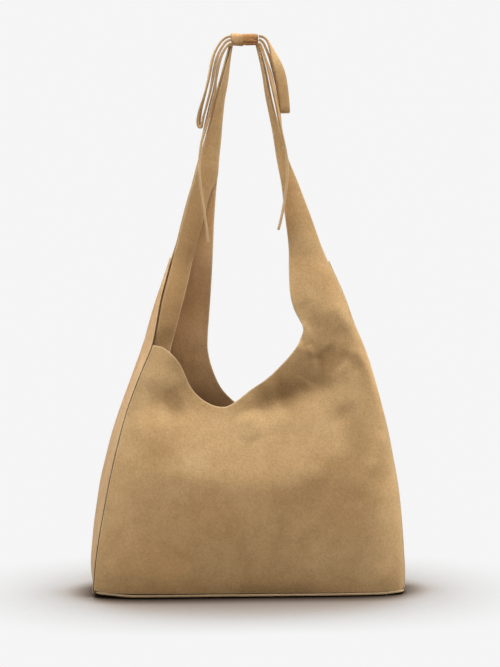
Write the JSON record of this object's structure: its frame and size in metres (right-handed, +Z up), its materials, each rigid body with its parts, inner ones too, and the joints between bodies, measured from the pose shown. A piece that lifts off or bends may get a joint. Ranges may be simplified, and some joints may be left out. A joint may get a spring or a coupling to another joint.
{
  "type": "hobo bag",
  "caption": "Soft suede hobo bag: tapered sack body with side gussets, scooped mouth and one-piece arms that meet overhead in a tied bow.",
  "frame": {"origin": "centre of the base footprint, on the floor", "axes": "+X across the width to the viewer's right, +Y from the front face to the back face, +Z up from the base to the bow"},
  "size_m": [0.3852, 0.1329, 0.6776],
  "materials": {
    "suede": "suede nap",
    "tie": "suede nap",
    "lining": "plain weave",
    "board": "matte fibreboard",
    "tape": "woven tape",
    "coil": "matte",
    "hardware": "brushed"
  },
  "bodies": {
    "bag": {"back_lining": "lining", "back_panel": "suede", "base_board": "board", "base_lining": "lining", "base_panel": "suede", "front_lining": "lining", "front_panel": "suede", "left_arm_facing": "suede", "left_gusset": "suede", "left_lining": "lining", "pocket_bag": "lining", "right_arm_facing": "suede", "right_gusset": "suede", "right_lining": "lining", "snap_back_washer": "hardware", "snap_front_washer": "hardware", "snap_socket": "hardware", "snap_stud": "hardware", "zip_coil_lower": "coil", "zip_coil_upper": "coil", "zip_end_stops": "hardware", "zip_tape_lower": "tape", "zip_tape_upper": "tape"},
    "strap": {"left_strap_outer": "suede", "left_strap_facing": "suede", "right_strap_outer": "suede", "right_strap_facing": "suede", "knot_wrap": "tie", "knot_core": "suede"},
    "left_loop": {"left_loop": "tie"},
    "right_loop": {"right_loop": "tie"},
    "left_tail": {"left_tail": "tie"},
    "right_tail": {"right_tail": "tie"},
    "zip_slider": {"zip_slider": "hardware"},
    "zip_pull": {"zip_pull": "hardware"}
  },
  "joints": [
    {"name": "strap_fold", "type": "hinge", "parent": "bag", "child": "strap", "pos_m": [0, 0, 0.411], "axis": [1, 0, 0], "range_deg": [-115, 115]},
    {"name": "left_loop_swing", "type": "hinge", "parent": "strap", "child": "left_loop", "pos_m": [-0.023, -0.0085, 0.668], "axis": [-1, 0, 0], "range_deg": [0, 90]},
    {"name": "right_loop_swing", "type": "hinge", "parent": "strap", "child": "right_loop", "pos_m": [0.0098, -0.0085, 0.6682], "axis": [-1, 0, 0], "range_deg": [0, 90]},
    {"name": "left_tail_swing", "type": "hinge", "parent": "strap", "child": "left_tail", "pos_m": [-0.023, -0.0085, 0.668], "axis": [-1, 0, 0], "range_deg": [0, 90]},
    {"name": "right_tail_swing", "type": "hinge", "parent": "strap", "child": "right_tail", "pos_m": [0.0098, -0.0085, 0.6682], "axis": [-1, 0, 0], "range_deg": [0, 90]},
    {"name": "zip_slide", "type": "slide", "parent": "bag", "child": "zip_slider", "axis": [1, 0, 0], "range_m": [0, 0.154]},
    {"name": "zip_pull_flip", "type": "hinge", "parent": "zip_slider", "child": "zip_pull", "pos_m": [-0.077, 0.04232, 0.168], "axis": [0, 0, 1], "range_deg": [0, 170]}
  ]
}
